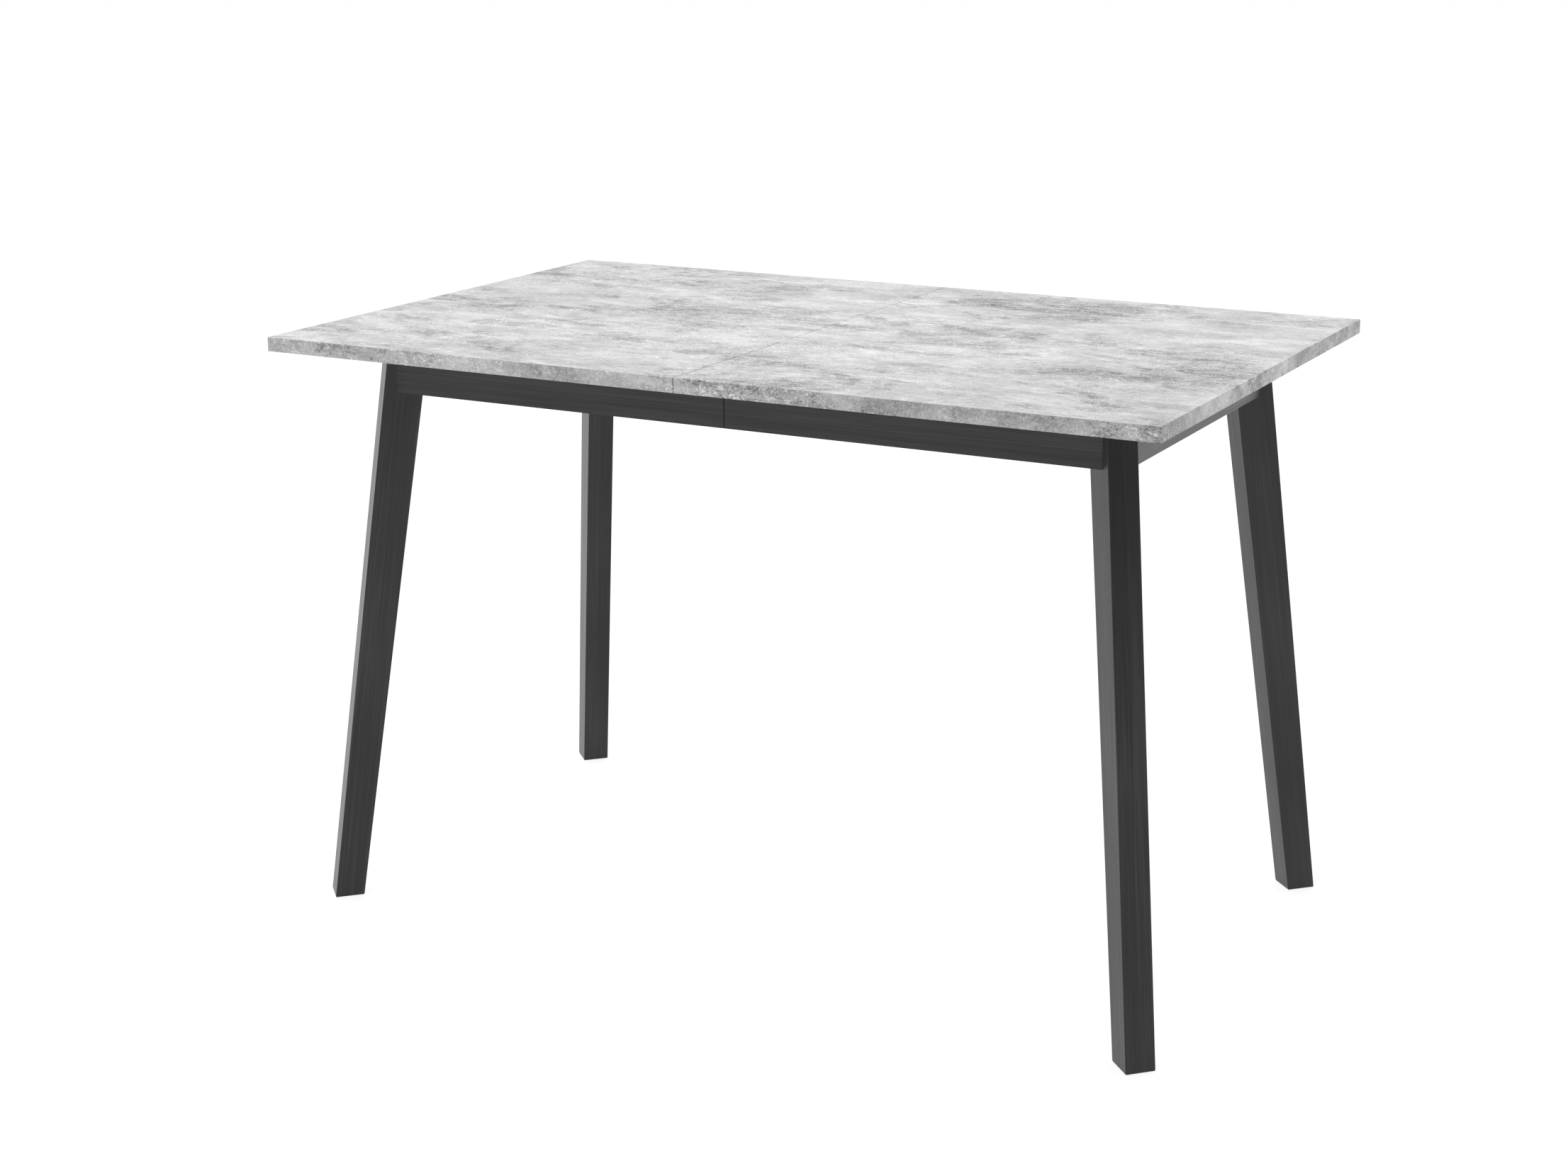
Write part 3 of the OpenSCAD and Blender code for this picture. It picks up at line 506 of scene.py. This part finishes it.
# %% [markdown]
# ## Modelling by hand, in edit mode
# A primitive is only a start: it is added at its size and place, then faces and edges are
# picked by where they are and pushed, inset, extruded or bevelled. The helpers below pick
# elements with a test, so that a step reads as "the faces that look down" or "the long edges".
# Smooth shading bends light across a flat face that has a narrow rounded edge, so the
# last step weights the normals by face area, which keeps the flats flat.

# %% Helpers for modelling
FACING = 0.9  # a face looks along an axis when its normal has this much of it
TOUCHING = 1e-5  # points this near a plane are on it
SAME_POINT = 2e-6  # points this near each other are one


def deselect():
    if bpy.context.object and bpy.context.object.mode != "OBJECT":
        bpy.ops.object.mode_set(mode="OBJECT")
    bpy.ops.object.select_all(action="DESELECT")


def hold(piece):
    deselect()
    piece.select_set(True)
    bpy.context.view_layer.objects.active = piece


def edit(piece, kind):
    hold(piece)
    bpy.ops.object.mode_set(mode="EDIT")
    bpy.ops.mesh.select_mode(type=kind)
    bpy.ops.mesh.select_all(action="DESELECT")


def pick(piece, test):
    """Selects the vertices, edges or faces that pass the test, in the select mode in use."""
    mesh = bmesh.from_edit_mesh(piece.data)
    bpy.ops.mesh.select_all(action="DESELECT")
    modes = bpy.context.tool_settings.mesh_select_mode
    for item in mesh.verts if modes[0] else mesh.edges if modes[1] else mesh.faces:
        item.select_set(bool(test(item)))
    mesh.select_flush_mode()
    bmesh.update_edit_mesh(piece.data)


def middle(item):
    return sum((v.co for v in item.verts), Vector()) / len(item.verts)


def modify(piece, kind, **values):
    hold(piece)
    step = piece.modifiers.new(kind.lower(), kind)
    for name, value in values.items():
        setattr(step, name, value)
    bpy.ops.object.modifier_apply(modifier=step.name)


def smooth(piece, degrees=35):
    hold(piece)
    bpy.ops.object.shade_smooth_by_angle(angle=math.radians(degrees))
    modify(piece, "WEIGHTED_NORMAL", keep_sharp=True, weight=95)


def apply_place(piece):
    hold(piece)
    bpy.ops.object.transform_apply(location=True, rotation=True, scale=True)


def name_piece(name):
    piece = bpy.context.object
    piece.name = piece.data.name = name
    return piece


def hand_over(piece, finish, *replaced):
    """Gives a finished piece its material and its body, and lets it stand for CAD parts."""
    piece.data.materials.clear()
    piece.data.materials.append(finish)
    smooth(piece)
    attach(piece, body_of[replaced[0]])
    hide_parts(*replaced)
    deselect()
    return piece


# %% [markdown]
# ## Legs
# A leg is one straight stick of glued beech, sawn on a taper, set at 45 degrees in the corner
# and leaning outwards. Its edges are only just eased, so they catch a hair of light. It
# is modelled upright in a corner's own frame, where the taper and the lean are both along X,
# and is turned into its corner at the end. A sloped box could also be lofted between two
# rectangles, but moving the bottom of a cube says the same thing more plainly.

# %% Four legs
LEG_WIDTH, LEG_TOP, LEG_FOOT = 0.037, 0.052, 0.038
LEG_INSET, LEG_LEAN = 0.036, 0.105
EASED_EDGE, EASED_SOLE = 0.0011, 0.0016
NEAR_FLOOR = 0.001
leg_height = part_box("front_right_leg")[1].z
frame_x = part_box("right_end_apron")[1].x
frame_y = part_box("right_back_apron")[1].y


def model_leg(name, side_x, side_y):
    angle = math.atan2(side_y, side_x)
    deselect()
    bpy.ops.mesh.primitive_cube_add(size=1, location=(-LEG_INSET, 0, leg_height / 2),
                                    scale=(LEG_TOP, LEG_WIDTH, leg_height))
    leg = name_piece(name + "_turned_in")
    apply_place(leg)
    edit(leg, "VERT")
    pick(leg, lambda v: v.co.z < NEAR_FLOOR)
    bpy.ops.transform.resize(value=(LEG_FOOT / LEG_TOP, 1, 1), center_override=(-LEG_INSET, 0, 0))
    bpy.ops.transform.translate(value=(LEG_LEAN, 0, 0))
    bpy.ops.mesh.select_mode(type="EDGE")
    pick(leg, lambda e: abs(e.verts[0].co.z - e.verts[1].co.z) > leg_height / 2)
    bpy.ops.mesh.bevel(offset=EASED_EDGE, segments=3, profile=0.5)
    pick(leg, lambda e: middle(e).z < TOUCHING)
    bpy.ops.mesh.bevel(offset=EASED_SOLE, segments=2, profile=0.5)
    bpy.ops.object.mode_set(mode="OBJECT")
    leg.location = (side_x * frame_x, side_y * frame_y, 0)
    leg.rotation_euler = (0, 0, angle)
    apply_place(leg)
    out = Vector((math.cos(angle), math.sin(angle), 0))
    axis = (out * LEG_LEAN - Vector((0, 0, leg_height))).normalized()
    across_leg = Vector((-out.y, out.x, 0))
    turn_leg = Matrix((axis, across_leg, axis.cross(across_leg))).transposed().to_euler()
    centre = Vector((side_x * frame_x, side_y * frame_y, leg_height)) - out * LEG_INSET
    finish = black_wood("black_wood_" + name, tuple(turn_leg), tuple(centre),
                        glue_line=True, figure=0.16, lift=0.0)
    return hand_over(leg, finish, name)


for name, side_x, side_y in (("front_left_leg", -1, -1), ("front_right_leg", 1, -1),
                             ("back_left_leg", -1, 1), ("back_right_leg", 1, 1)):
    leg = model_leg(name, side_x, side_y)
    print(leg.name, len(leg.data.polygons), "faces")

# %% [markdown]
# ## Eased edges on sawn and stamped parts
# Aprons, blocks and battens leave the planer with sharp edges that are sanded once, and
# stamped steel has a slightly rounded rim. Their shapes are right already, holes
# included, so each is copied, its loose triangles are merged into whole faces, and a small
# bevel is set along every sharp edge.

# %% Eased copies
FLAT_ENOUGH, SHARP_EDGE = math.radians(0.5), math.radians(35)


def eased(node, width, finish):
    deselect()
    piece = bpy.data.objects.new(node + "_eased", nodes[node].data.copy())
    bpy.context.scene.collection.objects.link(piece)
    piece.data.name = piece.name
    edit(piece, "VERT")
    bpy.ops.mesh.select_all(action="SELECT")
    bpy.ops.mesh.remove_doubles(threshold=SAME_POINT)
    bpy.ops.mesh.dissolve_limited(angle_limit=FLAT_ENOUGH)
    bpy.ops.mesh.customdata_custom_splitnormals_clear()
    bpy.ops.object.mode_set(mode="OBJECT")
    modify(piece, "BEVEL", width=width, segments=2, limit_method="ANGLE",
           angle_limit=SHARP_EDGE, use_clamp_overlap=True)
    return hand_over(piece, finish, node)


for side in ("left", "right"):
    for name in ("front_apron", "back_apron"):
        eased(f"{side}_{name}", 0.0007, black_along)
    eased(f"{side}_end_apron", 0.0007, black_across)
    eased(f"{side}_corner_blocks", 0.0008, beech_corner)
    eased(f"{side}_batten", 0.0010, beech_across)
    eased(f"{side}_rack_hanger", 0.0004, steel)
    eased(f"{side}_leg_washers", 0.0004, steel)
eased("middle_batten", 0.0010, beech_across)
eased("front_latch_hook", 0.0005, steel)
eased("back_latch_hook", 0.0005, steel)
eased("keeper_studs", 0.0003, steel)
eased("latch_plates", 0.0003, steel)
eased("rack_guides", 0.0003, steel)
eased("glide_pads", 0.0006, finishes["nylon"])
eased("leaf_hinges", 0.0006, finishes["brass"])
eased("seam_dowels", 0.0010, beech_along)
eased("leaf_dowels", 0.0010, beech_along)
print("eased copies made")

# %% [markdown]
# ## Screws
# Cross-head screws hold the aprons, slides, battens, racks and latches. Only a head shows, but
# it shows often from below, so one screw of each size is modelled: a low domed head
# from a bevelled disc, a shank extruded from its underside to a point, and a cross recess cut
# by two thin wedges. One size is as wide at its point as at its face, so it has no head and
# stays a plain rod with a recess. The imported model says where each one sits: every solid of a
# fastener part is a screw whose wide end is its head.

# %% Where the fasteners are
def solids(node):
    """The points of each separate solid in a CAD part."""
    mesh = bmesh.new()
    mesh.from_mesh(nodes[node].data)
    bmesh.ops.remove_doubles(mesh, verts=mesh.verts, dist=SAME_POINT)
    seen, found = set(), []
    for start in mesh.verts:
        if start in seen:
            continue
        seen.add(start)
        group, queue = [], [start]
        while queue:
            vert = queue.pop()
            group.append(vert.co.copy())
            for edge in vert.link_edges:
                other = edge.other_vert(vert)
                if other not in seen:
                    seen.add(other)
                    queue.append(other)
        found.append(group)
    mesh.free()
    return found


END_SHARE = 0.35  # of a rod's length, what counts as its end


def along(points):
    """Both end centres of a solid of revolution, from its two points furthest apart."""
    first = max(points, key=lambda p: (p - points[0]).length)
    second = max(points, key=lambda p: (p - first).length)
    rough_axis = (second - first).normalized()
    near_end = END_SHARE * (second - first).length
    low = [p for p in points if (p - first).dot(rough_axis) < near_end]
    high = [p for p in points if (second - p).dot(rough_axis) < near_end]
    return sum(low, Vector()) / len(low), sum(high, Vector()) / len(high)


def screw_place(points):
    """Head centre, direction from head to point, and sizes, of an upright or level screw."""
    low = Vector(min(p[i] for p in points) for i in range(3))
    high = Vector(max(p[i] for p in points) for i in range(3))
    axis = max(range(3), key=lambda i: (high - low)[i])
    centre = (low + high) / 2

    def ring(at):
        return [p for p in points if abs(p[axis] - at) < TOUCHING]

    def off_axis(p):
        return Vector(p[i] - centre[i] for i in range(3) if i != axis).length

    def reach(group):
        return max(off_axis(p) for p in group)

    low_r, high_r = reach(ring(low[axis])), reach(ring(high[axis]))
    direction = Vector((0, 0, 0))
    direction[axis] = 1 if low_r >= high_r else -1
    head = centre.copy()
    head[axis] = low[axis] if low_r >= high_r else high[axis]
    head_r, shank_r = max(low_r, high_r), min(low_r, high_r)
    length = high[axis] - low[axis]
    head_h = max(abs(p[axis] - head[axis]) for p in points if off_axis(p) > 0.9 * head_r)
    return head, direction, *(round(size, 5) for size in (head_r, head_h, shank_r, length))


# %% One screw of each size
screw_models = {}
HEAD_STEP = 0.0003  # less difference than this between head and shank is no head
FLUSH_HEAD = 0.0015  # heads lower than this are let in flush
DOME, SMALL_DOME = 0.42, 0.10
POINT_SHARE, POINT_WIDTH = 0.2, 0.25
ARM, SLOT_WIDTH, SLOT_DEPTH, DEEPEST = 0.62, 0.17, 0.62, 0.003
RECESS_TAPER = 0.72


def cut_away(piece, cutter):
    modify(piece, "BOOLEAN", operation="DIFFERENCE", object=cutter, solver="EXACT")
    bpy.data.objects.remove(cutter, do_unlink=True)


def model_screw(head_r, head_h, shank_r, length):
    """Head at the origin with its face down, the point up along Z."""
    headless = head_r - shank_r < HEAD_STEP
    flush = head_h < FLUSH_HEAD
    deselect()
    depth = length if headless else head_h
    bpy.ops.mesh.primitive_cylinder_add(vertices=20, radius=head_r, depth=depth,
                                        location=(0, 0, depth / 2))
    screw = name_piece("screw_model")
    apply_place(screw)
    edit(screw, "EDGE")
    pick(screw, lambda e: middle(e).z < 1e-6)
    bpy.ops.mesh.bevel(offset=head_r * (SMALL_DOME if flush or headless else DOME),
                       segments=2 if flush else 3, profile=0.6)
    if not headless:
        bpy.ops.mesh.select_mode(type="FACE")
        pick(screw, lambda f: f.normal.z > FACING)
        bpy.ops.mesh.inset(thickness=head_r - shank_r)
        for share in (1 - POINT_SHARE, POINT_SHARE):
            rise = (0, 0, (length - head_h) * share)
            bpy.ops.mesh.extrude_region_move(TRANSFORM_OT_translate={"value": rise})
        bpy.ops.transform.resize(value=(POINT_WIDTH, POINT_WIDTH, 1), center_override=(0, 0, length))
    bpy.ops.object.mode_set(mode="OBJECT")
    arm, gap = head_r * ARM, head_r * SLOT_WIDTH
    sink = min(head_h, DEEPEST) * SLOT_DEPTH
    for size in ((arm * 2, gap, sink * 2), (gap, arm * 2, sink * 2)):
        deselect()
        bpy.ops.mesh.primitive_cube_add(size=1, location=(0, 0, 0), scale=size)
        wedge = name_piece("recess_cutter")
        apply_place(wedge)
        edit(wedge, "FACE")
        pick(wedge, lambda f: f.normal.z > FACING)
        bpy.ops.transform.resize(value=(RECESS_TAPER, RECESS_TAPER, 1), center_override=(0, 0, sink))
        bpy.ops.object.mode_set(mode="OBJECT")
        cut_away(screw, wedge)
    return screw


def set_out(name, model_places, finish, node):
    """Copies each model to its places, joins the copies and hands them over."""
    copies = []
    for model, place in model_places:
        copy = bpy.data.objects.new(name, model.data.copy())
        bpy.context.scene.collection.objects.link(copy)
        copy.matrix_world = place
        copies.append(copy)
    deselect()
    for copy in copies:
        copy.select_set(True)
    bpy.context.view_layer.objects.active = copies[0]
    bpy.ops.object.join()
    piece = name_piece(name)
    apply_place(piece)
    return hand_over(piece, finish, node)


def turned(direction, spin=0.0):
    facing_way = Vector(direction).to_track_quat("Z", "Y").to_matrix().to_4x4()
    return facing_way @ Matrix.Rotation(spin, 4, "Z")


SPIN = 0.61  # each screw stops at its own angle
fastener_nodes = [f"{side}_{kind}" for side in ("left", "right")
                  for kind in ("frame_screws", "slide_screws", "rack_screws")]
fastener_nodes += ["latch_screws", "keeper_screws", "batten_screws"]
for node in fastener_nodes:
    placed = []
    for count, points in enumerate(solids(node)):
        head, direction, *sizes = screw_place(points)
        key = tuple(sizes)
        if key not in screw_models:
            screw_models[key] = model_screw(*key)
        place = Matrix.Translation(head) @ turned(direction, count * SPIN)
        placed.append((screw_models[key], place))
    set_out(node + "_cross_head", placed, steel, node)
    print(node, len(placed), "screws")
for model in screw_models.values():
    bpy.data.objects.remove(model, do_unlink=True)

# %% [markdown]
# ## Leg bolts and nuts
# Each leg is drawn against its corner block by two threaded rods with washers and nuts. The
# thread shows only on the short tail past the nut. A true helix would not be told
# apart at this size, so the tail is a stack of rings: the end face is extruded and
# scaled in and out, half a pitch at a time. A nut is a six-sided disc with its corners turned
# off, made by keeping what it shares with a round disc whose two rims are chamfered. The disc
# is narrower halfway up than at its rims, so each corner of the nut has a waist half a
# millimetre deep. A real nut has no waist, so this is a mistake in the model: the middle ring
# should have been widened with the rims.

# %% Bolts and nuts
THREAD_PITCH, THREAD_DEPTH, LAST_RING, RINGS = 0.00125, 0.90, 0.92, 9
NUT_TURN_OFF, CHAMFER_SHARE = 0.93, 0.16
NEAR_END = 0.01  # points of a bolt this near its end centre are on its end rim
RIM_OUT, RIM_IN = 1.08, 0.86


def model_bolt(radius, length):
    """A rod from the origin up Z, its last part threaded."""
    plain = length - RINGS * THREAD_PITCH
    deselect()
    bpy.ops.mesh.primitive_cylinder_add(vertices=24, radius=radius, depth=plain,
                                        location=(0, 0, plain / 2))
    rod = name_piece("bolt_model")
    apply_place(rod)
    edit(rod, "FACE")
    pick(rod, lambda f: f.normal.z > FACING)
    half_pitch = {"value": (0, 0, THREAD_PITCH / 2)}
    for ring in range(RINGS):
        for scale in (THREAD_DEPTH, 1 / THREAD_DEPTH if ring < RINGS - 1 else LAST_RING):
            bpy.ops.mesh.extrude_region_move(TRANSFORM_OT_translate=half_pitch)
            bpy.ops.transform.resize(value=(scale, scale, 1), center_override=(0, 0, 0))
    bpy.ops.object.mode_set(mode="OBJECT")
    return rod


def model_nut(corner_r, height, bore_r):
    deselect()
    bpy.ops.mesh.primitive_cylinder_add(vertices=6, radius=corner_r, depth=height, location=(0, 0, 0))
    nut = name_piece("nut_model")
    apply_place(nut)
    deselect()
    bpy.ops.mesh.primitive_cylinder_add(vertices=48, radius=corner_r * NUT_TURN_OFF, depth=height,
                                        location=(0, 0, 0))
    turned_off = name_piece("nut_cone")
    apply_place(turned_off)
    edit(turned_off, "VERT")
    bpy.ops.mesh.select_all(action="SELECT")
    bpy.ops.mesh.subdivide(number_cuts=1)
    bpy.ops.mesh.select_mode(type="FACE")
    for face_way in (1, -1):
        rise = face_way * height * CHAMFER_SHARE
        pick(turned_off, lambda f: f.normal.z * face_way > FACING)
        bpy.ops.transform.translate(value=(0, 0, -rise))
        bpy.ops.transform.resize(value=(RIM_OUT, RIM_OUT, 1), center_override=(0, 0, 0))
        bpy.ops.mesh.extrude_region_move(TRANSFORM_OT_translate={"value": (0, 0, rise)})
        bpy.ops.transform.resize(value=(RIM_IN, RIM_IN, 1), center_override=(0, 0, 0))
    bpy.ops.object.mode_set(mode="OBJECT")
    modify(nut, "BOOLEAN", operation="INTERSECT", object=turned_off, solver="EXACT")
    bpy.data.objects.remove(turned_off, do_unlink=True)
    deselect()
    bpy.ops.mesh.primitive_cylinder_add(vertices=24, radius=bore_r, depth=height * 2,
                                        location=(0, 0, 0))
    cut_away(nut, name_piece("nut_drill"))
    return nut


for side in ("left", "right"):
    rods = []
    bolts = solids(side + "_leg_bolts")
    for points in bolts:
        one, two = along(points)
        inner, outer = (one, two) if one.xy.length < two.xy.length else (two, one)
        rods.append((outer, inner))
    start, end = rods[0]
    from_start = [(p - start).length for p in bolts[0]]
    radius = max(far for far in from_start if far < NEAR_END)
    length = (start - end).length
    rod = model_bolt(round(radius, 5), length)
    places = [(rod, Matrix.Translation(outer) @ turned(inner - outer)) for outer, inner in rods]
    set_out(side + "_leg_bolts_threaded", places, steel, side + "_leg_bolts")
    nuts = solids(side + "_leg_nuts")
    axis = (end - start).normalized()
    height = max(p.dot(axis) for p in nuts[0]) - min(p.dot(axis) for p in nuts[0])
    centres = [sum(n, Vector()) / len(n) for n in nuts]
    wide = max(((p - centres[0]) - axis * (p - centres[0]).dot(axis)).length for p in nuts[0])
    nut = model_nut(round(wide, 5), height, radius)
    places = []
    for centre in centres:
        near, far = min(rods, key=lambda r: (centre - r[0]).cross((r[1] - r[0]).normalized()).length)
        places.append((nut, Matrix.Translation(centre) @ turned(far - near)))
    set_out(side + "_leg_nuts_chamfered", places, steel, side + "_leg_nuts")
    for model in (rod, nut):
        bpy.data.objects.remove(model, do_unlink=True)
    print(side, len(rods), "bolts of radius", round(radius * 1000, 2),
          "and length", round(length * 1000, 1))

# %% [markdown]
# ## Felt pads
# Strips of pressed felt on the battens keep the leaf from scratching. A cut felt pad has round
# corners, a soft upper rim and an uneven surface, so each is a slab with bevelled corners,
# finely subdivided and moved by a cloud texture of a fraction of a millimetre.

# %% Felt pads
felt_clouds = bpy.data.textures.new("felt_clouds", "CLOUDS")
felt_clouds.noise_scale = 0.004
CORNER_ROUND, RIM_ROUND, UNEVEN, VOXEL = 0.006, 0.00035, 0.00016, 0.0005
UPRIGHT_EDGE = 0.0005
pads = []
for count, points in enumerate(solids("felt_pads")):
    low = Vector(min(p[i] for p in points) for i in range(3))
    high = Vector(max(p[i] for p in points) for i in range(3))
    deselect()
    bpy.ops.mesh.primitive_cube_add(size=1, location=(low + high) / 2, scale=high - low)
    pad = name_piece(f"felt_pad_{count}")
    apply_place(pad)
    edit(pad, "EDGE")
    pick(pad, lambda e: abs(e.verts[0].co.z - e.verts[1].co.z) > UPRIGHT_EDGE)
    bpy.ops.mesh.bevel(offset=CORNER_ROUND, segments=5, profile=0.5)
    pick(pad, lambda e: middle(e).z > high.z - TOUCHING)
    bpy.ops.mesh.bevel(offset=RIM_ROUND, segments=2, profile=0.5)
    bpy.ops.object.mode_set(mode="OBJECT")
    modify(pad, "REMESH", mode="VOXEL", voxel_size=VOXEL)
    modify(pad, "DISPLACE", texture=felt_clouds, texture_coords="LOCAL",
           strength=UNEVEN, mid_level=1.0)
    pads.append(pad)
hold(pads[0])
for pad in pads:
    pad.select_set(True)
bpy.ops.object.join()
felt = name_piece("felt_pads_pressed")
hand_over(felt, finishes["felt"], "felt_pads")
print("felt pads:", len(felt.data.polygons), "faces")
